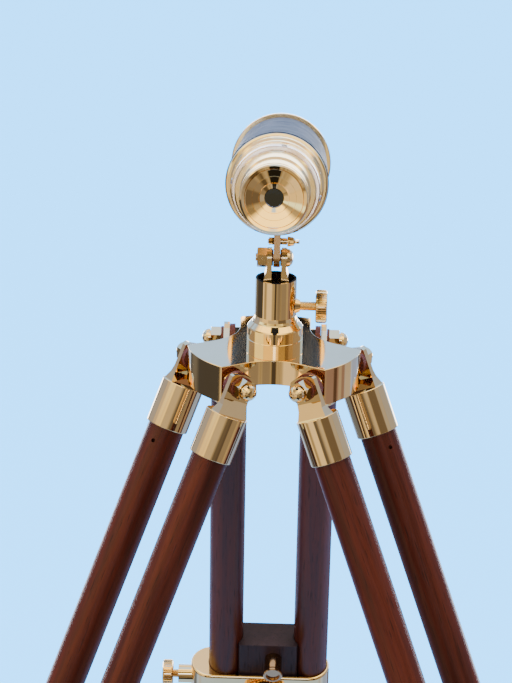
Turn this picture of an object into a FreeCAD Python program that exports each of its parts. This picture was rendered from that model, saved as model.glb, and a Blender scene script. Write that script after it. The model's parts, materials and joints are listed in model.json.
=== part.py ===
import FreeCAD, Part
import math
import os

os.makedirs("parts", exist_ok=True)

# A brass telescope with a leather-wrapped tube, on a three-armed brass head and three wooden legs.
# Millimetres, +Z up. The model is drawn about the azimuth axis with the head's flat top at z = 0,
# then moved so that the origin is the middle of the footprint, on the floor.
# At rest the telescope points along +Y with its objective end tipped down.

# Telescope: stations run along the optical axis, positive towards the objective, from above the pivot
tubeTilt = 15.35
axisAbovePivot = 57.0
eyeCupStation = -383.0
collarStation = -294.0
guideStation = -272.0
sleeveStation = -230.0
ringStation = -186.0
leatherStart = -179.0
leatherEnd = 172.0
bezelEnd = 181.0
shieldEnd = 226.0
leatherRadius = 32.6
tubeRadius = 31.2
tubeBore = 29.6
rearRingRadius = 32.0
sleeveRadius = 28.4
guideRadius = 26.9
drawRadius = 22.9
drawBore = 21.4
collarRadius = 24.55
eyepieceRadius = 20.4
eyeCupRadius = 19.8
eyeHoleRadius = 5.4
bezelRadius = 35.4
shieldRadius = 33.3
shieldBore = 31.5
objectiveRadius = 27.0
guideScrewStation = -261.0
guideScrewAngle = 80.5
cellStart = 150.0
retainerStation = 152.0
flintStation = 157.0
crownStation = 161.4
erectorStations = (-160.0, -200.0)
drawEnd = -130.0

# Fork mount
pivotHeight = 61.7
pivotRadius = 2.5
earGap = 6.5
earTopRadius = 6.8
earOuter = 6.5
earBase = 36.0
earFootHalf = 8.4
tongueThickness = 4.4
tongueRadius = 6.5
crossAbovePivot = 11.0
socketRadius = 13.8
socketBore = 12.0
socketTop = 47.5
postRadius = 11.9
socketScrewHeight = 27.85
socketScrewLength = 14.8

# Tripod head
armAzimuths = (90.0, 210.0, 330.0)
armHalfWidth = 24.15
armReach = 58.8
armDepth = 25.0
webDepth = 17.0
filletRadius = 33.8
collarOuter = 18.8
hingeRadial = 44.7
hingeDrop = 12.4
boltRadius = 3.0
innerWasherRadius = 9.6
outerWasherRadius = 7.7
nutAcrossFlats = 13.2

# Legs: distances along a leg are measured down from its hinge axis
legSplay = 23.16
legLength = 985.0
rodRadius = 12.5
rodOffset = 31.2
ferruleRadius = 14.45
ferruleStart = 20.0
ferruleEnd = 51.3
rodEnd = 640.0
yokeStart = 616.0
barStart = 299.2
barEnd = 950.0
barHalfWidth = 21.75
barHalfDepth = 11.5
barEdgeRound = 2.0
bandStart = 330.0
bandDepth = 40.0
bandRadius = 15.5
bandEdgeRound = 2.0
bandScrewDepth = 344.5
knobDepth = 346.5
knobRadius = 15.5
pegDepth = 313.0

# Fits and common sizes
runningClearance = 0.05
slideClearance = 0.3
edgeRound = 0.5

headTop = hingeDrop + legLength * math.cos(math.radians(legSplay))
origin = FreeCAD.Vector(0, 0, 0)
alongX = FreeCAD.Vector(1, 0, 0)
alongY = FreeCAD.Vector(0, 1, 0)
alongZ = FreeCAD.Vector(0, 0, 1)


# Shapes that repeat

def point(x, y, z):
    return FreeCAD.Vector(x, y, z)


def cylinder(radius, start, end, axis=alongZ, centre=origin):
    return Part.makeCylinder(radius, end - start, centre + axis * start, axis)


def tube(outer, inner, start, end, axis=alongZ, centre=origin):
    return cylinder(outer, start, end, axis, centre).cut(cylinder(inner, start - 1, end + 1, axis, centre))


def box(xRange, yRange, zRange):
    size = [high - low for low, high in (xRange, yRange, zRange)]
    return Part.makeBox(size[0], size[1], size[2], point(xRange[0], yRange[0], zRange[0]))


# A closed outline of (radius, height) corners turned about Z
def lathe(corners):
    outline = [point(radius, 0, height) for radius, height in corners]
    outline.append(outline[0])
    return Part.Face(Part.makePolygon(outline)).revolve(origin, alongZ, 360)


# Turns a shape drawn along Z so that its Z points along another axis
def pointed(shape, axis, centre=origin):
    copy = shape.copy()
    copy.Placement = FreeCAD.Placement(centre, FreeCAD.Rotation(alongZ, axis))
    return copy


def extruded(corners, direction):
    outline = list(corners)
    outline.append(outline[0])
    return Part.Face(Part.makePolygon(outline)).extrude(direction)


def hexagon(acrossFlats, start, end, turn=0.0):
    radius = acrossFlats / 2 / math.cos(math.pi / 6)
    corners = []
    for side in range(6):
        angle = math.radians(60 * side + turn)
        corners.append(point(radius * math.cos(angle), radius * math.sin(angle), start))
    blank = extruded(corners, point(0, 0, end - start))
    bevel = (radius - acrossFlats / 2) * 0.7
    crown = lathe([(0, start), (radius - bevel, start), (radius, start + bevel * 0.6),
                   (radius, end - bevel * 0.6), (radius - bevel, end), (0, end)])
    return blank.common(crown)


# A thumb wheel with straight knurling and rounded rims, from z = 0 to z = width
def knurledWheel(radius, width, ridges, depth):
    corners = []
    for ridge in range(ridges):
        for step, reach in ((0.0, 0.0), (0.28, 0.0), (0.5, depth), (0.78, depth)):
            angle = 2 * math.pi * (ridge + step) / ridges
            reachRadius = radius - reach
            corners.append(point(reachRadius * math.cos(angle), reachRadius * math.sin(angle), 0))
    ridged = extruded(corners, point(0, 0, width))
    rim = width * 0.18
    blank = lathe([(0, 0), (radius - rim, 0), (radius - rim * 0.3, rim * 0.35), (radius, rim),
                   (radius, width - rim), (radius - rim * 0.3, width - rim * 0.35),
                   (radius - rim, width), (0, width)])
    return ridged.common(blank)


# A thumbscrew drawn along +Z: the tip of its shank at z = 0, its wheel beyond shankLength
def thumbscrew(shankRadius, shankLength, wheelRadius, wheelWidth, ridges):
    wheel = knurledWheel(wheelRadius, wheelWidth, ridges, wheelRadius * 0.06)
    wheel.translate(point(0, 0, shankLength))
    shank = lathe([(0, 0), (shankRadius - 0.6, 0), (shankRadius, 0.6), (shankRadius, shankLength + 0.5),
                   (0, shankLength + 0.5)])
    dish = cylinder(wheelRadius * 0.62, shankLength + wheelWidth - 0.6, shankLength + wheelWidth + 1)
    return wheel.fuse(shank).cut(dish).removeSplitter()


# Outline of a slot shape across the leg: two round ends of one radius at leftEnd and rightEnd
def stadium(radius, leftEnd, rightEnd, start, end):
    block = box((-radius, radius), (rightEnd, leftEnd), (start, end))
    leftRound = cylinder(radius, start, end, alongZ, point(0, leftEnd, 0))
    rightRound = cylinder(radius, start, end, alongZ, point(0, rightEnd, 0))
    return block.fuse(leftRound).fuse(rightRound).removeSplitter()


nodes = {}


def keep(name, shape):
    nodes[name] = shape


# Tripod head

def headPlate():
    root = armHalfWidth / math.tan(math.pi / 3) + filletRadius / math.tan(math.pi / 3)
    corner = math.sqrt(armReach ** 2 - armHalfWidth ** 2)
    gapRadius = armHalfWidth / math.sin(math.pi / 3) + filletRadius * (1 / math.sin(math.pi / 3) - 1)
    edges = []
    arms = []
    for azimuth in armAzimuths:
        angle = math.radians(azimuth)
        outward = point(math.cos(angle), math.sin(angle), 0)
        across = point(-math.sin(angle), math.cos(angle), 0)
        turned = math.radians(azimuth + 120)
        nextOutward = point(math.cos(turned), math.sin(turned), 0)
        nextAcross = point(-math.sin(turned), math.cos(turned), 0)
        middle = math.radians(azimuth + 60)
        gap = point(math.cos(middle), math.sin(middle), 0) * gapRadius
        nearRoot = outward * root - across * armHalfWidth
        nearCorner = outward * corner - across * armHalfWidth
        farCorner = outward * corner + across * armHalfWidth
        farRoot = outward * root + across * armHalfWidth
        nextRoot = nextOutward * root - nextAcross * armHalfWidth
        edges.append(Part.makeLine(nearRoot, nearCorner))
        edges.append(Part.Arc(nearCorner, outward * armReach, farCorner).toShape())
        edges.append(Part.makeLine(farCorner, farRoot))
        edges.append(Part.Arc(farRoot, gap, nextRoot).toShape())
        lowerArm = box((root * 0.8, armReach), (-armHalfWidth, armHalfWidth), (-armDepth, -webDepth))
        lowerArm = lowerArm.common(cylinder(armReach, -armDepth, -webDepth))
        lowerArm.rotate(origin, alongZ, azimuth)
        arms.append(lowerArm)
    plate = Part.Face(Part.Wire(edges)).extrude(point(0, 0, -webDepth))
    plate = plate.multiFuse(arms).removeSplitter()
    topEdges = [edge for edge in plate.Edges if all(abs(vertex.Z) < 0.01 for vertex in edge.Vertexes)]
    plate = plate.makeFillet(edgeRound, topEdges)
    plate = plate.cut(cylinder(socketRadius, -armDepth, 1))
    for azimuth in armAzimuths:
        bolt = cylinder(boltRadius, -armHalfWidth - 1, armHalfWidth + 1, alongY,
                        point(hingeRadial, 0, -hingeDrop))
        bolt.rotate(origin, alongZ, azimuth)
        plate = plate.cut(bolt)
    return plate


def socketCollar():
    return lathe([(socketRadius, 0), (collarOuter, 0), (collarOuter, 5.2), (collarOuter - 0.3, 5.5),
                  (collarOuter, 5.8), (collarOuter, 13.2), (collarOuter - 0.5, 14.0), (15.5, 17.2),
                  (15.2, 18.0), (14.5, 19.4), (14.0, 21.6), (socketRadius, 21.6)])


def socketTube():
    boss = pointed(Part.makeCone(5.6, 3.9, 3.6), alongX, point(12.9, 0, socketScrewHeight))
    shell = cylinder(socketRadius, -webDepth, socketTop).fuse(boss)
    shell = shell.cut(cylinder(socketBore, -webDepth - 1, socketTop + 1))
    return shell.cut(cylinder(boltRadius + runningClearance, 0, 30, alongX, point(0, 0, socketScrewHeight)))


bossEnd = 27.5
innerWasherEnd = 31.2
tongueInner = 31.4
tongueOuter = 35.3
outerWasherStart = 35.5
outerWasherEnd = 37.1
nutEnd = 44.1


# Cap nut drawn along +Z from the outer washer: hexagon, neck, then dome
def acornNut():
    dome = lathe([(0, nutEnd - 0.4), (4.6, nutEnd - 0.4), (4.6, nutEnd + 0.5), (5.7, nutEnd + 0.7),
                  (5.7, nutEnd + 1.6), (5.3, nutEnd + 3.1), (4.3, nutEnd + 4.5), (2.6, nutEnd + 5.5),
                  (1.2, nutEnd + 5.9), (0, nutEnd + 6.0)])
    nut = hexagon(nutAcrossFlats, outerWasherEnd, nutEnd, 30).fuse(dome)
    return nut.cut(cylinder(boltRadius, outerWasherEnd - 1, nutEnd - 1)).removeSplitter()


# Copies a set of shapes, drawn on both ends of the hinge axis, to each of the three arms
def onEachHinge(shapes):
    copies = []
    for azimuth in armAzimuths:
        for shape in shapes:
            copy = shape.copy()
            copy.translate(point(hingeRadial, 0, -hingeDrop))
            copy.rotate(origin, alongZ, azimuth)
            copies.append(copy)
    return Part.makeCompound(copies)


def onBothEnds(shape):
    return [pointed(shape, alongY), pointed(shape, -alongY)]


def buildHead():
    keep("tripod_head", headPlate())
    keep("socket_collar", socketCollar())
    keep("socket_tube", socketTube())
    keep("hinge_bolts", onEachHinge([cylinder(boltRadius, 1 - nutEnd, nutEnd - 1, alongY)]))
    keep("hinge_spacers", onEachHinge(onBothEnds(tube(7.5, boltRadius, armHalfWidth, bossEnd))))
    innerWasher = tube(innerWasherRadius, boltRadius, bossEnd, innerWasherEnd)
    outerWasher = tube(outerWasherRadius, boltRadius, outerWasherStart, outerWasherEnd)
    keep("hinge_washers", onEachHinge(onBothEnds(innerWasher) + onBothEnds(outerWasher)))
    keep("acorn_nuts", onEachHinge(onBothEnds(acornNut())))
    screw = thumbscrew(boltRadius, socketScrewLength, 11.25, 7.8, 40)
    keep("socket_thumbscrew", pointed(screw, alongX, point(12.1, 0, socketScrewHeight)))


# Fork mount, which turns in the socket

def fork():
    inner = earGap / 2
    apex = pivotHeight + earTopRadius
    sides = [Part.makeLine(point(-12, -earFootHalf, earBase), point(-12, -earTopRadius, pivotHeight)),
             Part.Arc(point(-12, -earTopRadius, pivotHeight), point(-12, 0, apex),
                      point(-12, earTopRadius, pivotHeight)).toShape(),
             Part.makeLine(point(-12, earTopRadius, pivotHeight), point(-12, earFootHalf, earBase)),
             Part.makeLine(point(-12, earFootHalf, earBase), point(-12, -earFootHalf, earBase))]
    profile = Part.Face(Part.Wire(sides)).extrude(point(24, 0, 0))
    profile = profile.common(cylinder(postRadius, 30, 80))
    ears = []
    for side in (1, -1):
        section = [point(side * reach, -12, height) for reach, height in
                   ((inner, earBase), (8.8, earBase), (8.6, 47), (earOuter, 55), (earOuter, 70),
                    (inner, 70))]
        ears.append(extruded(section, point(0, 24, 0)).common(profile))
    post = lathe([(0, 1), (postRadius - 1, 1), (postRadius, 2), (postRadius, earBase + 1), (0, earBase + 1)])
    whole = post.multiFuse(ears).removeSplitter()
    return whole.cut(cylinder(pivotRadius, -12, 12, alongX, point(0, 0, pivotHeight)))


def pivotBolt():
    head = lathe([(0, earOuter), (6.2, earOuter), (6.2, 7.1), (5.6, 8.9), (4.2, 10.3),
                  (2.2, 11.0), (0, 11.2)])
    slot = box((-8, 8), (-0.7, 0.7), (9.3, 12))
    bolt = head.fuse(cylinder(pivotRadius, -14.2, earOuter + 0.5)).cut(slot)
    return pointed(bolt, alongX, point(0, 0, pivotHeight))


def buildMount():
    keep("fork", fork())
    keep("pivot_bolt", pivotBolt())
    nut = hexagon(12.0, earOuter, 13.2, 0).cut(cylinder(pivotRadius, 0, 20))
    keep("pivot_nut", pointed(nut, -alongX, point(0, 0, pivotHeight)))
    washer = tube(5.6, pivotRadius, 2.4, earGap / 2)
    centre = point(0, 0, pivotHeight)
    pair = [pointed(washer, alongX, centre), pointed(washer, -alongX, centre)]
    keep("tilt_washers", Part.makeCompound(pair))


# Telescope, drawn with Z along the optical axis, X to the right and Y downwards

def rearSleeve():
    return lathe([(guideRadius, sleeveStation), (sleeveRadius - 0.5, sleeveStation),
                  (sleeveRadius, sleeveStation + 0.5), (sleeveRadius, ringStation - 1.0),
                  (29.4, ringStation), (30.6, ringStation), (31.5, ringStation + 0.5),
                  (rearRingRadius, ringStation + 1.6), (rearRingRadius, leatherStart),
                  (tubeBore, leatherStart), (tubeBore, leatherStart + 18), (guideRadius, leatherStart + 18)])


def drawGuide():
    guide = lathe([(23.3, guideStation + 2), (24.2, guideStation), (guideRadius - 0.8, guideStation),
                   (guideRadius, guideStation + 0.8), (guideRadius, sleeveStation + 34),
                   (23.3, sleeveStation + 34)])
    for screw in guideScrews(1.2, 0).Solids:
        guide = guide.cut(screw)
    return guide


# Four small radial screws; without a head the same shapes serve as their holes
def guideScrews(shankRadius, headHeight):
    screws = []
    for quarter in range(4):
        angle = math.radians(guideScrewAngle + 90 * quarter)
        outward = point(math.cos(angle), -math.sin(angle), 0)
        screw = cylinder(shankRadius, 23.4, guideRadius)
        screw = screw.fuse(cylinder(1.9, guideRadius - 0.3, guideRadius))
        if headHeight:
            cap = lathe([(0, guideRadius), (1.9, guideRadius), (1.9, guideRadius + 0.3),
                         (1.2, guideRadius + headHeight), (0, guideRadius + headHeight)])
            slot = box((-3, 3), (-0.25, 0.25), (guideRadius + 0.35, guideRadius + 2))
            screw = screw.fuse(cap).cut(slot)
        screws.append(pointed(screw, outward, point(0, 0, guideScrewStation)))
    return Part.makeCompound(screws)


def objectiveCell():
    rim = bezelRadius
    return lathe([(objectiveRadius, cellStart), (tubeBore, cellStart), (tubeBore, leatherEnd),
                  (rim - 0.7, leatherEnd), (rim, leatherEnd + 0.7),
                  (rim, bezelEnd - 2.2), (rim - 0.6, bezelEnd - 0.8),
                  (rim - 1.6, bezelEnd), (objectiveRadius - 1.5, bezelEnd), (objectiveRadius - 1.5, 171),
                  (objectiveRadius, 171)])


def drawTube():
    start = collarStation + 2
    outline = [(drawRadius, start), (drawRadius, drawEnd), (drawBore, drawEnd)]
    for station in erectorStations:
        outline += [(drawBore, station + 2), (9, station + 2), (9, station - 2), (drawBore, station - 2)]
    outline.append((drawBore, start))
    return lathe(outline)


# The dish has three conical steps between its rim and the eye hole
def eyeCup():
    rim = eyeCupStation
    outline = [(eyeCupRadius - 0.9, rim), (17.3, rim + 1.0), (16.9, rim + 1.9)]
    for outer, inner in ((16.6, 12.9), (12.3, 8.9), (8.3, eyeHoleRadius + 0.3)):
        depth = outline[-1][1]
        outline += [(outer, depth + 0.2), (inner, depth + 1.9), (inner - 0.15, depth + 2.4)]
    outline += [(eyeHoleRadius, rim + 9.4), (eyeHoleRadius, rim + 13), (9, rim + 13), (9, rim + 20),
                (18.4, rim + 20), (18.4, rim + 8), (eyeCupRadius, rim + 8), (eyeCupRadius, rim + 0.9)]
    return lathe(outline)


def eyepieceBody():
    start = eyeCupStation + 8
    return lathe([(18.4, start), (eyepieceRadius - 0.4, start), (eyepieceRadius, start + 0.6),
                  (eyepieceRadius, collarStation - 5), (21.3, collarStation - 4), (21.3, collarStation),
                  (20.2, collarStation), (20.2, collarStation + 14), (14, collarStation + 14),
                  (14, start + 16), (18.4, start + 16)])


# Lens with one bulged face: flat at start, its centre thickness larger than its rim
def lens(radius, start, rim, bulge):
    outline = [(0, start), (radius, start), (radius, start + rim)]
    for step in range(1, 8):
        fraction = 1 - step / 8
        outline.append((radius * fraction, start + rim + bulge * (1 - fraction ** 2)))
    outline.append((0, start + rim + bulge))
    return lathe(outline)


def tubeSaddle():
    ring = tube(leatherRadius + 2.1, leatherRadius, -32, 32)
    reach = leatherRadius + 10
    spread = math.tan(math.radians(34)) * reach
    wedge = extruded([point(0, 0, -40), point(spread, reach, -40), point(-spread, reach, -40)],
                     point(0, 0, 80))
    return ring.common(wedge)


def tiltTongue():
    pivot = axisAbovePivot
    half = tongueThickness / 2
    corners = [point(-half, 33, 9.0), point(-half, 38, 7.2), point(-half, pivot, tongueRadius),
               point(-half, pivot, -tongueRadius), point(-half, 38, -7.2), point(-half, 33, -9.0)]
    blade = extruded(corners, point(tongueThickness, 0, 0))
    blade = blade.fuse(cylinder(tongueRadius, -half, half, alongX, point(0, pivot, 0)))
    blade = blade.cut(cylinder(leatherRadius + 2.1, -40, 40)).removeSplitter()
    blade = blade.cut(cylinder(pivotRadius + runningClearance, -5, 5, alongX, point(0, pivot, 0)))
    return blade.cut(cylinder(1.5, -5, 5, alongX, point(0, pivot - crossAbovePivot, 0)))


# The cross screw through the tongue: its nut on the left, a spacer on the right
def tongueScrew():
    centre = point(0, axisAbovePivot - crossAbovePivot, 0)
    half = tongueThickness / 2
    shank = cylinder(1.5, -6.3, 12.2, alongX, centre)
    nut = pointed(hexagon(4.8, half, 5.6).cut(cylinder(1.5, 0, 9)), -alongX, centre)
    spacer = tube(2.3, 1.5, half, 6.6, alongX, centre)
    return Part.makeCompound([shank, nut, spacer])


# Wing nut drawn along +Z, with its two wings in the XZ plane
def wingNut():
    hub = lathe([(1.55, 6.8), (3.3, 6.8), (3.5, 7.6), (2.8, 11.0), (2.3, 11.6), (1.55, 11.6)])
    wings = []
    for side in (1, -1):
        outline = [(1.9, 8.0), (3.3, 8.4), (4.4, 10.9), (6.6, 11.0), (8.0, 11.8), (8.5, 13.2), (8.0, 14.4),
                   (6.6, 15.0), (5.0, 14.2), (3.6, 12.0), (1.9, 11.2)]
        corners = [point(side * reach, -0.9, height) for reach, height in outline]
        wings.append(extruded(corners, point(0, 1.8, 0)))
    return hub.multiFuse(wings).removeSplitter()


def onTelescope(shape):
    copy = shape.copy()
    copy.rotate(origin, alongX, -90 - tubeTilt)
    tilt = math.radians(tubeTilt)
    rise = point(0, math.sin(tilt), math.cos(tilt)) * axisAbovePivot
    copy.translate(point(0, 0, pivotHeight) + rise)
    return copy


def buildTelescope():
    wing = wingNut()
    wing.rotate(origin, alongZ, 30)
    pieces = {
        "main_tube": tube(tubeRadius, tubeBore, leatherStart, leatherEnd),
        "leather_wrap": tube(leatherRadius, tubeRadius, leatherStart, leatherEnd),
        "rear_sleeve": rearSleeve(),
        "draw_guide": drawGuide(),
        "guide_screws": guideScrews(1.2, 0.8),
        "guide_felt": tube(23.3, drawRadius + runningClearance, guideStation + 4, sleeveStation + 30),
        "objective_cell": objectiveCell(),
        "crown_lens": lens(objectiveRadius, crownStation, 3.0, 3.4),
        "flint_lens": cylinder(objectiveRadius, flintStation, crownStation),
        "lens_retainer": tube(objectiveRadius, 24.6, retainerStation, flintStation),
        "dew_shield": lathe([(shieldBore, bezelEnd), (shieldRadius, bezelEnd), (shieldRadius, shieldEnd - 1),
                             (shieldRadius - 0.9, shieldEnd), (shieldBore, shieldEnd)]),
        "tube_saddle": tubeSaddle(),
        "tilt_tongue": tiltTongue(),
        "tongue_screw": tongueScrew(),
        "wing_nut": pointed(wing, alongX, point(0, axisAbovePivot - crossAbovePivot, 0)),
        "draw_tube": drawTube(),
        "draw_collar": lathe([(20.2, collarStation), (collarRadius - 0.8, collarStation),
                              (collarRadius, collarStation + 0.8), (collarRadius, collarStation + 3.6),
                              (collarRadius - 0.4, collarStation + 4), (drawRadius, collarStation + 4),
                              (drawRadius, collarStation + 2), (20.2, collarStation + 2)]),
        "eyepiece_body": eyepieceBody(),
        "eye_cup": eyeCup(),
        "eyepiece_lenses": Part.makeCompound([lens(9, eyeCupStation + 13, 2.4, 1.8),
                                              lens(14, collarStation - 40, 2.6, 2.2)]),
        "erector_lenses": Part.makeCompound([cylinder(9, station - 1.8, station + 1.8)
                                             for station in erectorStations]),
    }
    for name, shape in pieces.items():
        keep(name, onTelescope(shape))


# Legs, drawn hanging down -Z from the hinge axis along Y, with X outwards

def ferrules():
    pair = []
    for side in (1, -1):
        cup = cylinder(ferruleRadius, -ferruleEnd, -ferruleStart, alongZ, point(0, side * rodOffset, 0))
        rim = [edge for edge in cup.Edges if len(edge.Vertexes) == 1]
        cup = cup.makeFillet(edgeRound, rim)
        cup = cup.cut(cylinder(rodRadius, -ferruleEnd - 1, -ferruleStart - 3.2, alongZ,
                               point(0, side * rodOffset, 0)))
        section = [(tongueInner, 11.5), (tongueOuter, 11.5), (tongueOuter, -9.5),
                   (38.6, -ferruleStart - 0.5), (28.4, -ferruleStart - 0.5), (tongueInner, -13.6)]
        blade = extruded([point(-12, side * y, z) for y, z in section], point(24, 0, 0))
        outline = [point(-9.6, 25, 5.8), point(-8.4, 25, 7.0), point(-4.8, 25, 8.2), point(0, 25, 8.6),
                   point(4.8, 25, 8.2), point(8.4, 25, 7.0), point(9.6, 25, 5.8),
                   point(9.6, 25, -14), point(11.6, 25, -21), point(-11.6, 25, -21), point(-9.6, 25, -14)]
        face = extruded([point(corner.x, side * corner.y, corner.z) for corner in outline],
                        point(0, side * 16, 0))
        tongue = blade.common(face).common(cylinder(ferruleRadius - 0.6, -22, 20, alongZ,
                                                    point(0, side * rodOffset, 0)))
        ferrule = cup.fuse(tongue).removeSplitter()
        pair.append(ferrule.cut(cylinder(boltRadius + runningClearance, -40, 40, alongY)))
    return Part.makeCompound(pair)


def rods():
    pair = []
    for side in (1, -1):
        centre = point(0, side * rodOffset, 0)
        rod = cylinder(rodRadius, -rodEnd, -ferruleStart - 3.2, alongZ, centre)
        turn = math.radians(33)
        outward = point(math.cos(turn), -side * math.sin(turn), 0)
        pinHole = cylinder(1.4, rodRadius - 3, rodRadius + 1, outward, centre + point(0, 0, -62))
        pair.append(rod.cut(pinHole))
    return Part.makeCompound(pair)


def endYoke():
    outer = stadium(bandRadius, rodOffset, -rodOffset, -rodEnd - 2, -yokeStart)
    return outer.cut(stadium(rodRadius, rodOffset, -rodOffset, -rodEnd - 3, -yokeStart + 1))


def centreLeg():
    bar = box((-barHalfDepth, barHalfDepth), (-barHalfWidth, barHalfWidth), (-barEnd, -barStart))
    longEdges = [edge for edge in bar.Edges if abs(edge.Vertexes[0].Z - edge.Vertexes[-1].Z) > 100]
    bar = bar.makeFillet(barEdgeRound, longEdges)
    for side in (1, -1):
        bar = bar.cut(cylinder(rodRadius + slideClearance, -barEnd - 1, -barStart + 1, alongZ,
                               point(0, side * rodOffset, 0)))
    return bar


bandEnd = bandStart + bandDepth
bandLeft = 41.5
bandBossEnd = 66.4


def slideBand():
    band = stadium(bandRadius, bandLeft, -rodOffset + 1.2, -bandEnd, -bandStart)
    topEdges = [edge for edge in band.Edges
                if all(abs(vertex.Z + bandStart) < 0.01 for vertex in edge.Vertexes)]
    band = band.makeFillet(bandEdgeRound, topEdges)
    boss = cylinder(6.9, 50, bandBossEnd, alongY, point(0, 0, -bandScrewDepth))
    band = band.fuse(boss)
    inside = rodRadius + slideClearance + 0.1
    band = band.cut(stadium(inside, rodOffset, -rodOffset, -bandEnd - 1, -bandStart + 1))
    band = band.cut(cylinder(boltRadius + runningClearance, 30, 80, alongY, point(0, 0, -bandScrewDepth)))
    return band.cut(cylinder(boltRadius + runningClearance, 5, 30, -alongX, point(0, 2, -knobDepth)))


def bandPeg():
    peg = lathe([(0, barHalfDepth), (6.2, barHalfDepth), (6.4, barHalfDepth + 1), (6.4, 25), (7, 26.5),
                 (7, 28), (6.4, 28.5), (5.2, 28.5), (4.8, 26.6), (0, 26.6)])
    return pointed(peg, -alongX, point(0, -4.0, -pegDepth))


# Shoe on the end of the centre leg, with a turned stud cut level with the floor
def foot():
    shoe = box((-13.5, 13.5), (-23.5, 23.5), (-barEnd - 4, -barEnd + 26))
    sideEdges = [edge for edge in shoe.Edges if abs(edge.Vertexes[0].Z - edge.Vertexes[-1].Z) > 10]
    shoe = shoe.makeFillet(3.0, sideEdges)
    stud = lathe([(0, -barEnd - 3), (12.5, -barEnd - 3), (12.5, -barEnd - 6), (9.4, -barEnd - 14),
                  (10.4, -barEnd - 17), (10.4, -barEnd - 20), (9.0, -barEnd - 22), (9.0, -legLength - 8),
                  (0, -legLength - 8)])
    solid = shoe.fuse(stud).removeSplitter()
    return solid.cut(centreLeg())


def onLeg(shape, azimuth):
    copy = shape.copy()
    copy.rotate(origin, alongY, -legSplay)
    copy.translate(point(hingeRadial, 0, -hingeDrop))
    copy.rotate(origin, alongZ, azimuth)
    return copy


def buildLegs():
    bandScrew = thumbscrew(boltRadius, 26.4, 10.2, 7.7, 34)
    knob = thumbscrew(boltRadius, 3.9, knobRadius, 7.5, 52)
    floor = Part.makeBox(1200, 1200, 60, point(-600, -600, -headTop - 60))
    pieces = {
        "ferrules": ferrules(),
        "rods": rods(),
        "yoke": endYoke(),
        "centre_bar": centreLeg(),
        "band": slideBand(),
        "peg": bandPeg(),
        "knob": pointed(knob, -alongX, point(-11.9, 2, -knobDepth)),
        "thumbscrew": pointed(bandScrew, alongY, point(0, 44.0, -bandScrewDepth)),
        "foot": foot(),
    }
    for legName, azimuth in zip(("rear", "left", "right"), armAzimuths):
        for pieceName, shape in pieces.items():
            placed = onLeg(shape, azimuth)
            if pieceName == "foot":
                placed = placed.cut(floor)
            keep(legName + "_leg_" + pieceName, placed)


buildHead()
buildMount()
buildTelescope()
buildLegs()

whole = Part.makeCompound(list(nodes.values()))
extent = whole.optimalBoundingBox(False, False)
shift = point(-(extent.XMin + extent.XMax) / 2, -(extent.YMin + extent.YMax) / 2, headTop)
print("azimuth axis at x", round(shift.x, 4), "y", round(shift.y, 4), "head top at z", round(headTop, 4))
for name, shape in nodes.items():
    moved = shape.copy()
    moved.translate(shift)
    moved.exportStep("parts/" + name + ".step")
print(len(nodes), "nodes")
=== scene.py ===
import bpy
import bmesh
import json
import math
from mathutils import Matrix, Vector, noise

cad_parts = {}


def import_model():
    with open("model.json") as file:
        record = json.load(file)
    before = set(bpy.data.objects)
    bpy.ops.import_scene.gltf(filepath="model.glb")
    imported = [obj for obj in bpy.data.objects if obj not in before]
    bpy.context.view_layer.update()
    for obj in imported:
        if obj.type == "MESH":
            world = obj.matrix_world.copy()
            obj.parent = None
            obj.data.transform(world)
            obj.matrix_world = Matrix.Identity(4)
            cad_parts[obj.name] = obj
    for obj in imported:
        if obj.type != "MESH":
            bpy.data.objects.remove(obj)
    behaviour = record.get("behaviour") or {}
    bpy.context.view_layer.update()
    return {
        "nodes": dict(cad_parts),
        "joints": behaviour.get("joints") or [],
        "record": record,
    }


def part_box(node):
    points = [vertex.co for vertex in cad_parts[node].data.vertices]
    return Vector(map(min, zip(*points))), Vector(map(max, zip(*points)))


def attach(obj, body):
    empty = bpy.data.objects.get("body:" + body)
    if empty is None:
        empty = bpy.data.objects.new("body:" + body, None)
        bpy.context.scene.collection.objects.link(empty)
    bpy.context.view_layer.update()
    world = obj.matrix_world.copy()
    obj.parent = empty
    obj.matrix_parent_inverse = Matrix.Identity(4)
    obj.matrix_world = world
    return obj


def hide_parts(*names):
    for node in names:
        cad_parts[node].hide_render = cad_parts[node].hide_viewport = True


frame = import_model()
nodes = frame["nodes"]
joints = {joint["name"]: joint for joint in frame["joints"]}
scene = bpy.context.scene
legNames = ("rear", "left", "right")
millimetre = 0.001


# Places, all read from the frame

def axisFrame(centre, alongZ, towardsX):
    zAxis = Vector(alongZ).normalized()
    xAxis = (Vector(towardsX) - zAxis * Vector(towardsX).dot(zAxis)).normalized()
    yAxis = zAxis.cross(xAxis)
    turn = Matrix((xAxis, yAxis, zAxis)).transposed().to_4x4()
    return Matrix.Translation(centre) @ turn


def boxCentre(node):
    low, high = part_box(node)
    return (low + high) / 2


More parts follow.
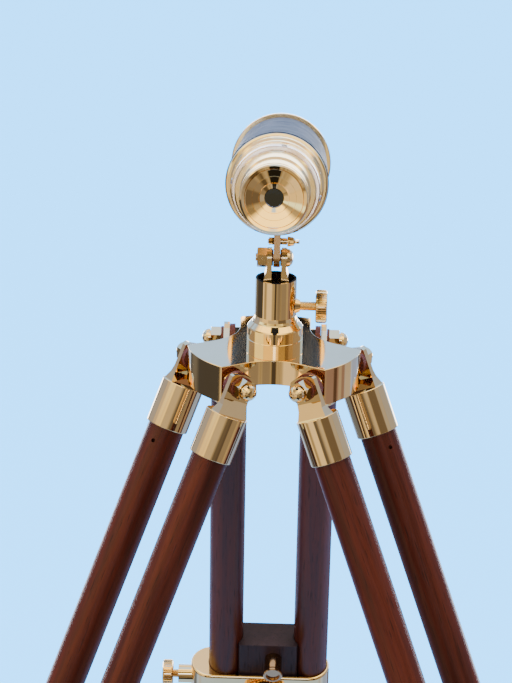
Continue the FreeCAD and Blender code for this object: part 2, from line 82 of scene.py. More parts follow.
opticalAxis = Vector(joints["focus"]["axis"])
headAxis = Vector(joints["azimuth"]["pos_m"])
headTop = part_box("tripod_head")[1].z
placeOf = {
    "telescope": axisFrame(boxCentre("main_tube"), opticalAxis, (1, 0, 0)),
    "head": axisFrame((headAxis.x, headAxis.y, headTop), (0, 0, 1), (1, 0, 0)),
    "pivot": axisFrame(joints["altitude"]["pos_m"], (1, 0, 0), (0, 1, 0)),
    "socketScrew": axisFrame(joints["socket_screw_turn"]["pos_m"], (1, 0, 0), (0, 1, 0)),
    "wingNut": axisFrame(joints["wing_nut_turn"]["pos_m"], (1, 0, 0), (0, 1, 0)),
}
for leg in legNames:
    fold = joints[leg + "_leg_fold"]
    placeOf[leg] = axisFrame(fold["pos_m"], joints[leg + "_leg_extend"]["axis"], fold["axis"])
    placeOf[leg + "Knob"] = axisFrame(joints[leg + "_knob_turn"]["pos_m"],
                                      joints[leg + "_knob_turn"]["axis"], fold["axis"])
    placeOf[leg + "Screw"] = axisFrame(joints[leg + "_band_screw_turn"]["pos_m"],
                                       joints[leg + "_band_screw_turn"]["axis"], (0, 0, 1))
print("places read")


# Small helpers for node trees

class Nodes:
    def __init__(self, tree):
        self.tree = tree

    def add(self, kind, values=None, **settings):
        node = self.tree.nodes.new(kind)
        for name, value in settings.items():
            setattr(node, name, value)
        for name, value in (values or {}).items():
            if isinstance(value, bpy.types.NodeSocket):
                self.tree.links.new(value, node.inputs[name])
            else:
                node.inputs[name].default_value = value
        return node

    def math(self, operation, first, second=0.0, third=0.0):
        node = self.add("ShaderNodeMath", {0: first, 1: second, 2: third}, operation=operation)
        return node.outputs[0]

    def noise(self, vector, scale, detail=2.0, rough=0.5, lacunarity=2.0):
        node = self.add("ShaderNodeTexNoise", {"Vector": vector, "Scale": scale, "Detail": detail,
                                               "Roughness": rough, "Lacunarity": lacunarity})
        return node.outputs["Fac"]

    def stretch(self, vector, amounts):
        node = self.add("ShaderNodeVectorMath", {0: vector, 1: amounts}, operation="MULTIPLY")
        return node.outputs[0]

    def remap(self, value, low, high, newLow, newHigh):
        node = self.add("ShaderNodeMapRange", {"Value": value, "From Min": low, "From Max": high,
                                               "To Min": newLow, "To Max": newHigh})
        return node.outputs["Result"]

    def mix(self, amount, first, second, blend="MIX"):
        node = self.add("ShaderNodeMix", data_type="RGBA", blend_type=blend)
        for index, value in ((0, amount), (6, first), (7, second)):
            if isinstance(value, bpy.types.NodeSocket):
                self.tree.links.new(value, node.inputs[index])
            else:
                node.inputs[index].default_value = value
        return node.outputs[2]

    def bump(self, height, strength, distance, under=None):
        values = {"Height": height, "Strength": strength, "Distance": distance}
        if under is not None:
            values["Normal"] = under
        return self.add("ShaderNodeBump", values).outputs["Normal"]


def shaderGroup(name, inputs, outputs):
    group = bpy.data.node_groups.new(name, "ShaderNodeTree")
    for label, kind, value in inputs:
        socket = group.interface.new_socket(name=label, in_out="INPUT", socket_type="NodeSocket" + kind)
        if value is not None:
            socket.default_value = value
    for label, kind in outputs:
        group.interface.new_socket(name=label, in_out="OUTPUT", socket_type="NodeSocket" + kind)
    entry = group.nodes.new("NodeGroupInput")
    leave = group.nodes.new("NodeGroupOutput")
    return group, Nodes(group), entry.outputs, leave.inputs


def grey(amount):
    return (amount, amount, amount, 1)


# Distance from a piece's own long axis
def acrossAxis(net, vector):
    parts = net.add("ShaderNodeSeparateXYZ", {0: vector}).outputs
    return net.math("SQRT", net.math("ADD", net.math("MULTIPLY", parts[0], parts[0]),
                                     net.math("MULTIPLY", parts[1], parts[1])))


def alongAxis(net, vector):
    return net.add("ShaderNodeSeparateXYZ", {0: vector}).outputs[2]


# Shared effects

def makeTurnedMetal():
    group, net, given, result = shaderGroup(
        "turnedMetal",
        [("Vector", "Vector", None), ("Bright", "Color", grey(0.8)), ("Deep", "Color", grey(0.4)),
         ("Lines", "Float", 1400.0), ("Smudges", "Float", 30.0), ("Smooth", "Float", 0.07),
         ("Rough", "Float", 0.2)],
        [("Color", "Color"), ("Roughness", "Float"), ("Height", "Float")])
    across = acrossAxis(net, given["Vector"])
    track = net.math("MULTIPLY", net.math("ADD", alongAxis(net, given["Vector"]), across), given["Lines"])
    lines = net.add("ShaderNodeTexNoise", {"W": track, "Scale": 1.0, "Detail": 3.0, "Roughness": 0.7},
                    noise_dimensions="1D").outputs["Fac"]
    smudge = net.noise(given["Vector"], given["Smudges"], 5.0, 0.62)
    speck = net.noise(given["Vector"], 900.0, 2.0, 0.5)
    cloud = net.remap(smudge, 0.35, 0.7, 0.0, 1.0)
    tone = net.math("MULTIPLY", cloud, 0.55)
    tone = net.math("ADD", tone, net.math("MULTIPLY", lines, 0.18))
    pit = net.remap(speck, 0.70, 0.76, 0.0, 0.35)
    tone = net.math("ADD", tone, pit)
    net.tree.links.new(net.mix(tone, given["Bright"], given["Deep"]), result["Color"])
    rough = net.add("ShaderNodeMapRange", {"Value": smudge, "From Min": 0.3, "From Max": 0.72,
                                           "To Min": given["Smooth"], "To Max": given["Rough"]}).outputs[0]
    net.tree.links.new(net.math("ADD", rough, net.math("MULTIPLY", pit, 0.3)), result["Roughness"])
    net.tree.links.new(net.math("ADD", net.math("MULTIPLY", lines, 0.6), net.math("MULTIPLY", speck, 0.25)),
                       result["Height"])
    return group


def makeGrainedWood():
    group, net, given, result = shaderGroup(
        "grainedWood",
        [("Vector", "Vector", None), ("Light", "Color", grey(0.3)), ("Mid", "Color", grey(0.15)),
         ("Dark", "Color", grey(0.05)), ("Figure", "Float", 1.0), ("Pores", "Float", 1.0)],
        [("Color", "Color"), ("Roughness", "Float"), ("Height", "Float")])
    drift = net.noise(net.stretch(given["Vector"], (30, 30, 4)), 1.0, 3.0)
    bent = net.add("ShaderNodeVectorMath", {0: given["Vector"], 1: net.stretch(drift, (0.02, 0.02, 0.0))},
                   operation="ADD").outputs[0]
    bands = net.noise(net.stretch(bent, (170, 170, 6)), 1.0, 6.0, 0.62)
    fibre = net.noise(net.stretch(given["Vector"], (1500, 1500, 30)), 1.0, 3.0, 0.6)
    pores = net.noise(net.stretch(given["Vector"], (900, 900, 55)), 1.0, 2.0, 0.5)
    poreMask = net.math("MULTIPLY", net.remap(pores, 0.60, 0.70, 0.0, 1.0), given["Pores"])
    wide = net.noise(net.stretch(given["Vector"], (18, 18, 2.5)), 1.0, 2.0)
    figure = net.math("MULTIPLY", net.remap(bands, 0.36, 0.66, 0.0, 1.0), given["Figure"])
    color = net.mix(figure, given["Mid"], given["Light"])
    color = net.mix(net.remap(wide, 0.4, 0.65, 0.0, 0.7), color, given["Dark"])
    color = net.mix(net.math("MULTIPLY", fibre, 0.35), color, given["Dark"])
    color = net.mix(net.math("MULTIPLY", poreMask, 0.75), color, given["Dark"])
    net.tree.links.new(color, result["Color"])
    rough = net.math("ADD", net.remap(bands, 0.3, 0.7, 0.30, 0.46), net.math("MULTIPLY", poreMask, 0.2))
    net.tree.links.new(rough, result["Roughness"])
    height = net.math("SUBTRACT", net.math("MULTIPLY", fibre, 0.35), net.math("MULTIPLY", poreMask, 0.8))
    net.tree.links.new(height, result["Height"])
    return group


turnedMetal = makeTurnedMetal()
grainedWood = makeGrainedWood()
print("shared effects built")


# Materials

# Every material starts as one Principled shader joined to the output
def startMaterial(name):
    material = bpy.data.materials.new(name)
    material.use_nodes = True
    material.node_tree.nodes.clear()
    net = Nodes(material.node_tree)
    shader = net.add("ShaderNodeBsdfPrincipled")
    output = net.add("ShaderNodeOutputMaterial")
    net.tree.links.new(shader.outputs[0], output.inputs["Surface"])
    return material, net, shader


# Object coordinates turned into a piece's own axes, metres
def localVector(net, place):
    inward = place.inverted()
    turn = inward.to_euler()
    coordinate = net.add("ShaderNodeTexCoord").outputs["Object"]
    mapping = net.add("ShaderNodeMapping", {"Vector": coordinate, "Location": inward.to_translation(),
                                            "Rotation": (turn.x, turn.y, turn.z)})
    return mapping.outputs[0]


def wire(net, shader, group, values):
    effect = net.add("ShaderNodeGroup", node_tree=group)
    for name, value in values.items():
        if isinstance(value, bpy.types.NodeSocket):
            net.tree.links.new(value, effect.inputs[name])
        else:
            effect.inputs[name].default_value = value
    net.tree.links.new(effect.outputs["Color"], shader.inputs["Base Color"])
    net.tree.links.new(effect.outputs["Roughness"], shader.inputs["Roughness"])
    return effect


# Polished brass is the common finish; the others change it
brassLook = {
    "bright": (0.89, 0.65, 0.34, 1), "deep": (0.80, 0.54, 0.25, 1), "lines": 1500.0, "smudges": 26.0,
    "smooth": 0.02, "rough": 0.09, "relief": 0.03, "depth": 0.00005, "thread": 0.0, "inside": 0.0,
}
deepBrass = {"bright": (0.62, 0.38, 0.18, 1), "deep": (0.44, 0.25, 0.11, 1), "smooth": 0.16, "rough": 0.30,
             "relief": 0.10}
satinBrass = {"smooth": 0.17, "rough": 0.30, "relief": 0.08}
dullBrass = {"bright": (0.90, 0.70, 0.50, 1), "deep": (0.76, 0.55, 0.36, 1), "smudges": 60.0, "smooth": 0.14,
             "rough": 0.34, "relief": 0.12}
pegBrass = {"bright": (0.46, 0.29, 0.17, 1), "deep": (0.32, 0.19, 0.10, 1), "smooth": 0.12, "rough": 0.26,
            "relief": 0.10}
screwBrass = {"thread": 0.00075, "smooth": 0.06, "rough": 0.16}
# Inside the socket tube the bore is darkened to grey: painted shade where the post closes it in
socketBrass = {"inside": 0.0122}
socketBoreShade = {"color": (0.16, 0.14, 0.15, 1), "edge": 0.0003}
threadLook = {"shankInner": 0.0031, "shankOuter": 0.0034, "strength": 0.8, "depth": 0.00012}


# Fine ridges round the thin shank of a screw, from the distance to its axis and the way along it
def threadHeight(net, vector, pitch):
    wave = net.math("SINE", net.math("MULTIPLY", alongAxis(net, vector), 2 * math.pi / pitch))
    onShank = net.remap(acrossAxis(net, vector), threadLook["shankInner"], threadLook["shankOuter"],
                        1.0, 0.0)
    return net.math("MULTIPLY", wave, onShank)


def brass(name, place, **changes):
    look = dict(brassLook, **changes)
    material, net, shader = startMaterial(name)
    vector = localVector(net, place)
    effect = wire(net, shader, turnedMetal, {
        "Vector": vector, "Bright": look["bright"], "Deep": look["deep"], "Lines": look["lines"],
        "Smudges": look["smudges"], "Smooth": look["smooth"], "Rough": look["rough"]})
    shader.inputs["Metallic"].default_value = 1.0
    # Painted shade: brass inside the given radius of the socket bore turns dark grey
    if look["inside"]:
        inside = net.remap(acrossAxis(net, vector), look["inside"], look["inside"] + socketBoreShade["edge"],
                           1.0, 0.0)
        shadedBore = net.mix(inside, effect.outputs["Color"], socketBoreShade["color"])
        net.tree.links.new(shadedBore, shader.inputs["Base Color"])
    normal = net.bump(effect.outputs["Height"], look["relief"], look["depth"])
    if look["thread"]:
        ridges = threadHeight(net, vector, look["thread"])
        normal = net.bump(ridges, threadLook["strength"], threadLook["depth"], normal)
    net.tree.links.new(normal, shader.inputs["Normal"])
    return material


woodLook = {
    "rod": {
        "light": (0.135, 0.02, 0.007, 1),
        "mid": (0.064, 0.0085, 0.004, 1),
        "dark": (0.011, 0.0025, 0.002, 1),
        "figure": 1.0, "pores": 0.8, "coat": 0.05, "relief": 0.16, "shine": 0.26,
    },
    # Centre bars: the wood's own dark brown, with a purple lean that is a painted reflection of the pale
    # blue floor
    "bar": {
        "light": (0.05, 0.024, 0.028, 1),
        "mid": (0.034, 0.017, 0.02, 1),
        "dark": (0.014, 0.008, 0.01, 1),
        "figure": 0.8, "pores": 1.0, "coat": 0.0, "relief": 0.25, "shine": 0.14,
    },
}
varnish = {"roughness": 0.18, "depth": 0.0002}


def wood(name, place, kind):
    look = woodLook[kind]
    material, net, shader = startMaterial(name)
    effect = wire(net, shader, grainedWood, {
        "Vector": localVector(net, place), "Light": look["light"], "Mid": look["mid"], "Dark": look["dark"],
        "Figure": look["figure"], "Pores": look["pores"]})
    shader.inputs["Specular IOR Level"].default_value = look["shine"]
    shader.inputs["Coat Weight"].default_value = look["coat"]
    shader.inputs["Coat Roughness"].default_value = varnish["roughness"]
    normal = net.bump(effect.outputs["Height"], look["relief"], varnish["depth"])
    net.tree.links.new(normal, shader.inputs["Normal"])
    return material


# Near each end of the wrap the leather turns almost black: painted shade beside the brass rings
leatherLook = {
    "face": (0.019, 0.026, 0.050, 1), "crease": (0.007, 0.009, 0.016, 1), "worn": (0.045, 0.055, 0.085, 1),
    "edge": (0.001, 0.001, 0.0015, 1), "edgeFrom": 0.1730, "pebbles": 620.0, "relief": 0.35,
}


def leather():
    material, net, shader = startMaterial("navyLeather")
    vector = localVector(net, placeOf["telescope"])
    cells = net.add("ShaderNodeTexVoronoi", {"Vector": vector, "Scale": leatherLook["pebbles"],
                                             "Randomness": 0.9}, feature="DISTANCE_TO_EDGE").outputs[0]
    pebble = net.remap(cells, 0.0, 0.16, 0.0, 1.0)
    wrinkle = net.noise(net.stretch(vector, (60, 60, 24)), 1.0, 5.0, 0.6)
    worn = net.remap(net.noise(vector, 22.0, 4.0, 0.6), 0.45, 0.75, 0.0, 0.8)
    color = net.mix(pebble, leatherLook["crease"], leatherLook["face"])
    color = net.mix(worn, color, leatherLook["worn"])
    # Painted shade: past the given station either way along the tube, the leather turns near black
    along = net.math("ABSOLUTE", alongAxis(net, vector))
    edge = net.remap(along, leatherLook["edgeFrom"], leatherLook["edgeFrom"] + 0.0004, 0.0, 1.0)
    color = net.mix(edge, color, leatherLook["edge"])
    net.tree.links.new(color, shader.inputs["Base Color"])
    net.tree.links.new(net.remap(wrinkle, 0.3, 0.7, 0.46, 0.62), shader.inputs["Roughness"])
    height = net.math("ADD", net.math("MULTIPLY", pebble, 0.6), net.math("MULTIPLY", wrinkle, 0.8))
    net.tree.links.new(net.bump(height, leatherLook["relief"], 0.00012), shader.inputs["Normal"])
    shader.inputs["Specular IOR Level"].default_value = 0.14
    shader.inputs["Specular Tint"].default_value = (0.42, 0.58, 1.0, 1)
    shader.inputs["Sheen Weight"].default_value = 0.06
    shader.inputs["Sheen Roughness"].default_value = 0.4
    shader.inputs["Sheen Tint"].default_value = (0.65, 0.75, 1.0, 1)
    return material


def speckled(name, light, dark, scale, rough, relief, distance):
    material, net, shader = startMaterial(name)
    vector = net.add("ShaderNodeTexCoord").outputs["Object"]
    fine = net.noise(vector, scale, 4.0, 0.65)
    broad = net.noise(vector, scale * 0.12, 3.0, 0.5)
    color = net.mix(net.remap(fine, 0.35, 0.68, 0.0, 1.0), dark, light)
    color = net.mix(net.remap(broad, 0.4, 0.7, 0.0, 0.35), color, dark)
    net.tree.links.new(color, shader.inputs["Base Color"])
    net.tree.links.new(net.remap(fine, 0.3, 0.7, rough, rough + 0.15), shader.inputs["Roughness"])
    net.tree.links.new(net.bump(fine, relief, distance), shader.inputs["Normal"])
    return material, net, shader


def glass(name, tint, shine):
    material, net, shader = startMaterial(name)
    vector = net.add("ShaderNodeTexCoord").outputs["Object"]
    dust = net.remap(net.noise(vector, 480.0, 3.0, 0.6), 0.6, 0.8, 0.01, 0.09)
    net.tree.links.new(dust, shader.inputs["Roughness"])
    shader.inputs["Base Color"].default_value = tint
    shader.inputs["Transmission Weight"].default_value = 1.0
    shader.inputs["IOR"].default_value = 1.52
    shader.inputs["Specular IOR Level"].default_value = shine
    shader.inputs["Coat Weight"].default_value = 0.4 * shine
    shader.inputs["Coat Tint"].default_value = (0.75, 0.8, 1.0, 1)
    return material


# The eyepiece lenses are nearly black, barely shining glass: painted shade standing in for the dark eyepiece
# bore
materials = {"leather": leather(), "glass": glass("clearGlass", (0.93, 0.97, 1.0, 1), 0.5),
             "darkGlass": glass("eyepieceShadeGlass", (0.035, 0.03, 0.03, 1), 0.02)}
materials["fibre"] = speckled("redFibre", (0.17, 0.035, 0.026, 1), (0.08, 0.014, 0.012, 1), 700.0, 0.34,
                              0.3, 0.0001)[0]
materials["felt"] = speckled("blackFelt", (0.045, 0.045, 0.05, 1), (0.008, 0.008, 0.01, 1), 1600.0, 0.85,
                             0.8, 0.0003)[0]
steel, _, steelShader = speckled("turnedSteel", (0.62, 0.63, 0.66, 1), (0.36, 0.37, 0.40, 1), 900.0,
                                 0.2, 0.1, 0.00005)
steelShader.inputs["Metallic"].default_value = 1.0
materials["steel"] = steel
for placeName, place in placeOf.items():
    changes = screwBrass if "crew" in placeName else {}
    materials["brass:" + placeName] = brass("brass_" + placeName, place, **changes)
materials["socket:head"] = brass("socketBrass", placeOf["head"], **socketBrass)
materials["satin:head"] = brass("satinBrassHead", placeOf["head"], **satinBrass)
materials["satin:pivot"] = brass("satinBrassPivot", placeOf["pivot"], **satinBrass)
materials["deep:telescope"] = brass("deepBrassTelescope", placeOf["telescope"], **deepBrass)
materials["dull:telescope"] = brass("dullBrassTelescope", placeOf["telescope"], **dullBrass)
for leg in legNames:
    materials["dull:" + leg] = brass(leg + "PegBrass", placeOf[leg], **pegBrass)
    materials["rod:" + leg] = wood(leg + "RodWood", placeOf[leg], "rod")
    materials["bar:" + leg] = wood(leg + "BarWood", placeOf[leg], "bar")


# Which finish each CAD node takes: these by name, the others by kind or by the body they belong to
namedFinishes = {
    "leather_wrap": "leather", "eyepiece_lenses": "darkGlass", "socket_tube": "socket:head",
    "fork": "satin:head", "tilt_tongue": "deep:telescope", "draw_guide": "dull:telescope",
    "hinge_washers": "fibre", "tilt_washers": "fibre", "guide_felt": "felt", "guide_screws": "steel",
    "socket_thumbscrew": "brass:socketScrew", "wing_nut": "brass:wingNut",
    "pivot_bolt": "satin:pivot", "pivot_nut": "satin:pivot", "tongue_screw": "brass:pivot",
}


def finishOf(name):
    if name in namedFinishes:
        return namedFinishes[name]
    if name.endswith("lens") or name.endswith("lenses"):
        return "glass"
    for leg in legNames:
        if name == leg + "_leg_rods":
            return "rod:" + leg
        if name == leg + "_leg_centre_bar":
            return "bar:" + leg
        if name == leg + "_leg_peg":
            return "dull:" + leg
        if name == leg + "_leg_knob":
            return "brass:" + leg + "Knob"
        if name == leg + "_leg_thumbscrew":
            return "brass:" + leg + "Screw"
        if name.startswith(leg):
            return "brass:" + leg
    bodies = frame["record"]["behaviour"]["bodies"]
    if name in bodies["head"] or name in bodies["mount"]:
        return "brass:head"
    return "brass:telescope"


for name, node in nodes.items():
    finish = materials[finishOf(name)]
    node.data.materials.clear()
    node.data.materials.append(finish)
print("materials placed")


# Leather wrap: a closed sleeve with a lapped seam underneath and rolled ends

wrapSizes = {
    "outer": 32.45 * millimetre, "inner": 31.25 * millimetre, "around": 216, "along": 150,
    "lap": 0.35 * millimetre, "lapAngle": 0.05, "roll": 0.8 * millimetre, "rollSteps": 5,
    "swell": 0.06 * millimetre,
}


def wrapEnds():
    inward = placeOf["telescope"].inverted()
    stations = [(inward @ vertex.co).z for vertex in nodes["leather_wrap"].data.vertices]
    return min(stations), max(stations)


# Outline of the sleeve as (station, radius), with its two ends rolled over
def sleeveOutline(start, end):
    roll = wrapSizes["roll"]
    lead = []
    for step in range(wrapSizes["rollSteps"]):
        turn = math.pi / 2 * step / wrapSizes["rollSteps"]
        lead.append((start + roll * (1 - math.cos(turn)), wrapSizes["outer"] - roll * (1 - math.sin(turn))))
    span = end - start - 2 * roll
    middle = [(start + roll + span * step / wrapSizes["along"], wrapSizes["outer"])
              for step in range(wrapSizes["along"] + 1)]
    tail = [(start + end - station, radius) for station, radius in reversed(lead)]
    return lead + middle + tail + [(end, wrapSizes["inner"]), (start, wrapSizes["inner"])]


# The lap dips on one side of the seam, and the hide swells and sinks very slightly all over
def hideSwell(angle, station):
    side = (angle - math.pi / 2 + math.pi) % (2 * math.pi) - math.pi
    spot = Vector((math.cos(angle) * 3, math.sin(angle) * 3, station * 60))
    swell = wrapSizes["swell"] * noise.noise(spot)
    if side > 0:
        swell -= wrapSizes["lap"] * max(0.0, 1 - side / wrapSizes["lapAngle"])
    return swell


def leatherWrap():
    place = placeOf["telescope"]
    count = wrapSizes["around"]
    mesh = bmesh.new()
    rings = []
    for station, radius in sleeveOutline(*wrapEnds()):
        ring = []
        for index in range(count):
            angle = 2 * math.pi * index / count
            reach = radius
            if radius > wrapSizes["inner"]:
                reach += hideSwell(angle, station)
            spot = Vector((reach * math.cos(angle), reach * math.sin(angle), station))
            ring.append(mesh.verts.new(place @ spot))
        rings.append(ring)
    for ringIndex, ring in enumerate(rings):
        other = rings[(ringIndex + 1) % len(rings)]
        for index in range(count):
            following = (index + 1) % count
            mesh.faces.new((ring[index], ring[following], other[following], other[index]))
    bmesh.ops.recalc_face_normals(mesh, faces=mesh.faces)
    data = bpy.data.meshes.new("leatherSleeve")
    mesh.to_mesh(data)
    mesh.free()
    for polygon in data.polygons:
        polygon.use_smooth = True
    sleeve = bpy.data.objects.new("leatherSleeve", data)
    scene.collection.objects.link(sleeve)
    data.materials.append(materials["leather"])
    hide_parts("leather_wrap")
    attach(sleeve, "telescope")


leatherWrap()
print("leather wrap made")


# Stitches beside the seam, in two runs that leave out the saddle
stitchSizes = {"pitch": 3.4 * millimetre, "length": 2.5 * millimetre, "thickness": 0.55 * millimetre,
               "saddleGap": 36 * millimetre, "margin": 7 * millimetre, "offset": 0.07,
               "lift": 0.05 * millimetre, "seed": 5}


def stitchTree(thread):
    tree = bpy.data.node_groups.new("seamStitches", "GeometryNodeTree")
    net = Nodes(tree)
    identifiers = {}
    for label, kind, value in (("Count", "Int", 30), ("Pitch", "Float", 0.0034), ("Length", "Float", 0.0025),
                               ("Thickness", "Float", 0.0005), ("Seed", "Int", 1)):
        socket = tree.interface.new_socket(name=label, in_out="INPUT", socket_type="NodeSocket" + kind)
        socket.default_value = value
        identifiers[label] = socket.identifier
    tree.interface.new_socket(name="Geometry", in_out="OUTPUT", socket_type="NodeSocketGeometry")
    given = tree.nodes.new("NodeGroupInput").outputs
    result = tree.nodes.new("NodeGroupOutput").inputs
    step = net.add("ShaderNodeCombineXYZ", {"Z": given["Pitch"]}).outputs[0]
    line = net.add("GeometryNodeMeshLine", {"Count": given["Count"], "Offset": step},
                   mode="OFFSET").outputs[0]
    bead = net.add("GeometryNodeMeshUVSphere", {"Segments": 10, "Rings": 8, "Radius": 0.5}).outputs[0]
    lean = net.add("FunctionNodeRandomValue", {0: (-0.05, -0.05, -0.16), 1: (0.05, 0.05, 0.16),
                                               "Seed": given["Seed"]}, data_type="FLOAT_VECTOR").outputs[0]
    size = net.add("ShaderNodeCombineXYZ", {"X": given["Thickness"], "Y": given["Thickness"],
                                            "Z": given["Length"]}).outputs[0]
    laid = net.add("GeometryNodeInstanceOnPoints", {"Points": line, "Instance": bead, "Rotation": lean,
                                                    "Scale": size}).outputs[0]
    real = net.add("GeometryNodeRealizeInstances", {0: laid}).outputs[0]
    smooth = net.add("GeometryNodeSetShadeSmooth", {0: real}).outputs[0]
    coated = net.add("GeometryNodeSetMaterial", {"Geometry": smooth}).outputs[0]
    coated.node.inputs["Material"].default_value = thread
    tree.links.new(coated, result["Geometry"])
    return tree, identifiers


def stitchRun(name, tree, identifiers, start, end):
    carrier = bpy.data.objects.new(name + "Carrier", bpy.data.meshes.new(name + "Carrier"))
    scene.collection.objects.link(carrier)
    maker = carrier.modifiers.new("stitches", "NODES")
    maker.node_group = tree
    maker[identifiers["Count"]] = int((end - start) / stitchSizes["pitch"])
    maker[identifiers["Pitch"]] = stitchSizes["pitch"]
    maker[identifiers["Length"]] = stitchSizes["length"]
    maker[identifiers["Thickness"]] = stitchSizes["thickness"]
    maker[identifiers["Seed"]] = stitchSizes["seed"]
    bpy.context.view_layer.update()
    made = bpy.data.meshes.new_from_object(carrier.evaluated_get(bpy.context.evaluated_depsgraph_get()))
    bpy.data.objects.remove(carrier)
    angle = math.pi / 2 - stitchSizes["offset"]
    reach = wrapSizes["outer"] + stitchSizes["lift"]
    row = Matrix.Translation((reach * math.cos(angle), reach * math.sin(angle), start))
    made.transform(placeOf["telescope"] @ row)
    stitches = bpy.data.objects.new(name, made)
    scene.collection.objects.link(stitches)
    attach(stitches, "telescope")


def seam():
    thread = speckled("waxedThread", (0.10, 0.11, 0.15, 1), (0.04, 0.045, 0.06, 1), 2500.0, 0.5,
                      0.4, 0.0001)[0]
    tree, identifiers = stitchTree(thread)
    start, end = wrapEnds()
    stitchRun("rearStitches", tree, identifiers, start + stitchSizes["margin"], -stitchSizes["saddleGap"])
    stitchRun("frontStitches", tree, identifiers, stitchSizes["saddleGap"], end - stitchSizes["margin"])


seam()
print("seam stitched")


# Stage, lights and camera

stageLook = {"floor": (0.05, 0.16, 0.30, 1), "glow": (0.19, 2.35, 5.6, 1), "size": 60.0,
             "air": (0.86, 0.93, 1.0, 1), "airStrength": 0.75, "shellRadius": 20}


def floor():
    bpy.ops.mesh.primitive_plane_add(size=stageLook["size"], location=(0, 0, 0))
    plane = bpy.context.object
    plane.name = "paleFloor"
    material, net, shader = startMaterial("paleFloor")
    shader.inputs["Base Color"].default_value = stageLook["floor"]
    shader.inputs["Roughness"].default_value = 0.9
    shader.inputs["Specular IOR Level"].default_value = 0.0
    shader.inputs["Emission Color"].default_value = stageLook["glow"]
    shader.inputs["Emission Strength"].default_value = 1.0
    plane.data.materials.append(material)
    plane.visible_glossy = False
    plane.visible_diffuse = False


def world():
    surroundings = bpy.data.worlds.new("softStudio")
    scene.world = surroundings
    surroundings.use_nodes = True
    tree = surroundings.node_tree
    tree.nodes["Background"].inputs["Color"].default_value = stageLook["air"]
    tree.nodes["Background"].inputs["Strength"].default_value = stageLook["airStrength"]


lamps = {
    "overhead": {"place": (0.2, 0.6, 3.2), "aim": (0, 0, 0.9), "size": 2.4, "power": 60,
                 "color": (1, 0.99, 0.97)},
    "left": {"place": (-2.6, -1.4, 2.2), "aim": (0, 0, 0.8), "size": 1.4, "power": 50,
             "color": (1, 1, 1)},
    "right": {"place": (2.6, -1.6, 1.9), "aim": (0, 0, 0.8), "size": 1.2, "power": 30,
              "color": (1, 0.97, 0.93)},
}


def lights():
    for name, lamp in lamps.items():
        data = bpy.data.lights.new(name, "AREA")
        data.shape = "SQUARE"
        data.size = lamp["size"]
        data.energy = lamp["power"]
        data.color = lamp["color"]
        light = bpy.data.objects.new(name, data)
        light.location = lamp["place"]
        towards = Vector(lamp["aim"]) - Vector(lamp["place"])
        light.rotation_euler = towards.to_track_quat("-Z", "Y").to_euler()
        light.visible_camera = False
        light.visible_glossy = False
        scene.collection.objects.link(light)


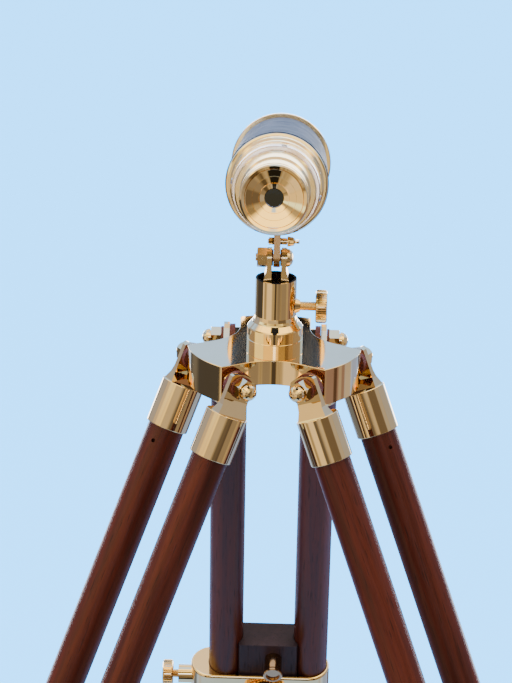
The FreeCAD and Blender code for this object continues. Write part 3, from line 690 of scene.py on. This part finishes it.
# What the polished brass mirrors: a wide shell with soft cards on it, seen by reflections only.
# Each card is (azimuth, elevation, half width, half height, softness, colour), in degrees.
# Azimuth 0 is in front, elevation 0 is level, and a later card covers an earlier one
mirrorCards = [
    ("back", (180, 0, 75, 90, 30, (0.75, 1.32, 2.60))),
    ("leftDark", (-110, -18, 37, 20, 6, (0.085, 0.085, 0.095))),
    ("leftOlive", (-130, -20, 9, 12, 9, (0.20, 0.20, 0.20))),
    ("leftEdge", (-72, -16, 4, 22, 2, (1.3, 1.1, 0.75))),
    ("leftSky", (-152, -22, 7, 14, 3, (0.85, 1.3, 2.2))),
    ("leftWarm", (-36, -14, 15, 12, 6, (1.25, 1.05, 0.70))),
    ("rightBrown", (92, -14, 18, 24, 4, (0.36, 0.26, 0.26))),
    ("rightStripe", (90, -14, 3, 24, 2, (0.12, 0.075, 0.06))),
    ("rightLight", (99, -14, 3, 24, 2, (0.55, 0.48, 0.42))),
    ("rightGold", (117, -14, 8, 24, 4, (0.66, 0.62, 0.60))),
    ("rightSky", (135, -20, 10, 16, 5, (0.45, 0.62, 1.2))),
    ("rightDark", (158, -18, 11, 18, 5, (0.14, 0.12, 0.12))),
    ("rightLow", (112, -34, 22, 8, 5, (0.42, 0.62, 1.2))),
    ("leftLow", (-112, -34, 26, 8, 5, (0.20, 0.25, 0.36))),
    ("leftLowSky", (-142, -33, 8, 8, 4, (0.68, 1.0, 1.9))),
    ("backBrown", (180, -19, 24, 5, 3, (0.50, 0.36, 0.24))),
    ("backWhite", (180, -9.5, 45, 4.5, 2, (9.0, 9.5, 10.5))),
    ("deepGold", (47, -15, 14, 10, 5, (0.36, 0.31, 0.25))),
    ("frontBrown", (16, -20, 9, 6, 4, (0.36, 0.31, 0.25))),
    ("viewer", (-1, -19, 5, 8, 2, (0.09, 0.075, 0.06))),
    ("frontShade", (4, 0, 26, 5, 4, (0.17, 0.15, 0.13))),
    ("rightShade", (24, -9, 10, 7, 4, (0.13, 0.11, 0.10))),
    ("edgeLeft", (-112, 10, 20, 16, 6, (0.52, 0.55, 0.70))),
    ("leftPale", (-80, 10, 11, 12, 4, (0.85, 0.74, 0.62))),
    ("leftCream", (-54, 12, 18, 16, 6, (1.35, 1.08, 0.58))),
    ("edgeRight", (108, 10, 26, 16, 6, (0.52, 0.56, 0.68))),
    ("rightPale", (68, 8, 12, 14, 5, (0.58, 0.56, 0.55))),
    ("frontGlow", (0, 25, 45, 9, 5, (2.0, 1.75, 0.80))),
    ("frontPale", (-9, 10, 25, 6, 6, (0.76, 0.66, 0.50))),
    ("rightNiche", (38, 10, 22, 14, 6, (0.20, 0.165, 0.13))),
    ("leftHigh", (-68, 23, 22, 5, 4, (2.0, 2.3, 1.7))),
    ("frontWhite", (0.4, 20, 5, 2.6, 2, (6.0, 7.6, 11.5))),
    ("ground", (0, -75, 180, 24, 8, (0.64, 0.98, 1.60))),
    ("frontFoot", (0, -41, 13, 11, 3, (0.02, 0.018, 0.015))),
    ("footLeft", (38, -31, 16, 8, 6, (0.14, 0.11, 0.07))),
    ("footRight", (-38, -31, 16, 8, 6, (0.62, 0.50, 0.28))),
    ("sky", (0, 75, 180, 33, 10, (3.8, 3.0, 1.15))),
    ("skyWarm", (180, 64, 100, 14, 8, (1.5, 1.4, 1.25))),
    ("zenith", (0, 90, 180, 15, 4, (1.2, 1.7, 2.8))),
]
mirrorStreaks = {"light": (0.80, 0.66, 0.42), "dim": 0.42, "scale": 0.16, "low": 0.35, "high": 0.65}


def mirrorShell():
    bpy.ops.mesh.primitive_uv_sphere_add(segments=64, ring_count=32, radius=stageLook["shellRadius"],
                                         location=(0, 0, 0))
    shell = bpy.context.object
    shell.name = "mirrorShell"
    material = bpy.data.materials.new("mirrorShell")
    material.use_nodes = True
    material.node_tree.nodes.clear()
    net = Nodes(material.node_tree)
    way = net.add("ShaderNodeVectorMath", {0: net.add("ShaderNodeTexCoord").outputs["Object"]},
                  operation="NORMALIZE").outputs[0]
    parts = net.add("ShaderNodeSeparateXYZ", {0: way}).outputs
    degrees = 180 / math.pi
    around = net.math("ARCTAN2", parts[0], net.math("MULTIPLY", parts[1], -1.0))
    azimuth = net.math("MULTIPLY", around, degrees)
    elevation = net.math("MULTIPLY", net.math("ARCSINE", parts[2]), degrees)
    streak = net.add("ShaderNodeTexNoise", {"W": azimuth, "Scale": mirrorStreaks["scale"], "Detail": 3.0,
                                            "Roughness": 0.7}, noise_dimensions="1D").outputs["Fac"]
    light = mirrorStreaks["light"]
    dim = tuple(mirrorStreaks["dim"] * part for part in light)
    streak = net.remap(streak, mirrorStreaks["low"], mirrorStreaks["high"], 0.0, 1.0)
    color = net.mix(streak, (*light, 1), (*dim, 1))
    for _, (middle, height, halfWidth, halfHeight, soft, shade) in mirrorCards:
        apart = net.math("WRAP", net.math("SUBTRACT", azimuth, middle), 180.0, -180.0)
        across = net.remap(net.math("ABSOLUTE", apart), halfWidth - soft / 2, halfWidth + soft / 2, 1.0, 0.0)
        if halfWidth >= 180:
            across = 1.0
        rise = net.math("ABSOLUTE", net.math("SUBTRACT", elevation, height))
        along = net.remap(rise, halfHeight - soft / 2, halfHeight + soft / 2, 1.0, 0.0)
        color = net.mix(net.math("MULTIPLY", along, across), color, (*shade, 1))
    glow = net.add("ShaderNodeEmission", {"Color": color, "Strength": 1.0})
    output = net.add("ShaderNodeOutputMaterial")
    net.tree.links.new(glow.outputs[0], output.inputs["Surface"])
    shell.data.materials.append(material)
    for polygon in shell.data.polygons:
        polygon.use_smooth = True
    shell.visible_camera = False
    shell.visible_diffuse = False
    shell.visible_transmission = False
    shell.visible_shadow = False


# Azimuth and elevation place the camera round the head; yaw, pitch and roll then frame the view
cameraPlace = {"azimuth": 0.40, "elevation": 20.05, "distance": 2.728, "yaw": 0.264, "pitch": 0.028,
               "roll": -1.50, "lens": 283.9, "sensor": 36, "near": 0.1, "far": 60}


def camera():
    azimuth = math.radians(cameraPlace["azimuth"])
    elevation = math.radians(cameraPlace["elevation"])
    back = Vector((math.sin(azimuth) * math.cos(elevation), -math.cos(azimuth) * math.cos(elevation),
                   math.sin(elevation)))
    target = Vector((headAxis.x, headAxis.y, headTop))
    forward = -back
    right = forward.cross(Vector((0, 0, 1))).normalized()
    up = right.cross(forward)
    for kind in ("yaw", "pitch", "roll"):
        axis = {"yaw": up, "pitch": right, "roll": forward}[kind]
        turn = Matrix.Rotation(math.radians(cameraPlace[kind]), 3, axis)
        forward, right, up = turn @ forward, turn @ right, turn @ up
    data = bpy.data.cameras.new("view")
    data.sensor_fit = "HORIZONTAL"
    data.sensor_width = cameraPlace["sensor"]
    data.lens = cameraPlace["lens"]
    data.clip_start = cameraPlace["near"]
    data.clip_end = cameraPlace["far"]
    viewer = bpy.data.objects.new("view", data)
    viewer.matrix_world = Matrix.Translation(target + back * cameraPlace["distance"]) @ \
        Matrix((right, up, -forward)).transposed().to_4x4()
    scene.collection.objects.link(viewer)
    scene.camera = viewer


floor()
world()
lights()
mirrorShell()
camera()
print("stage set")
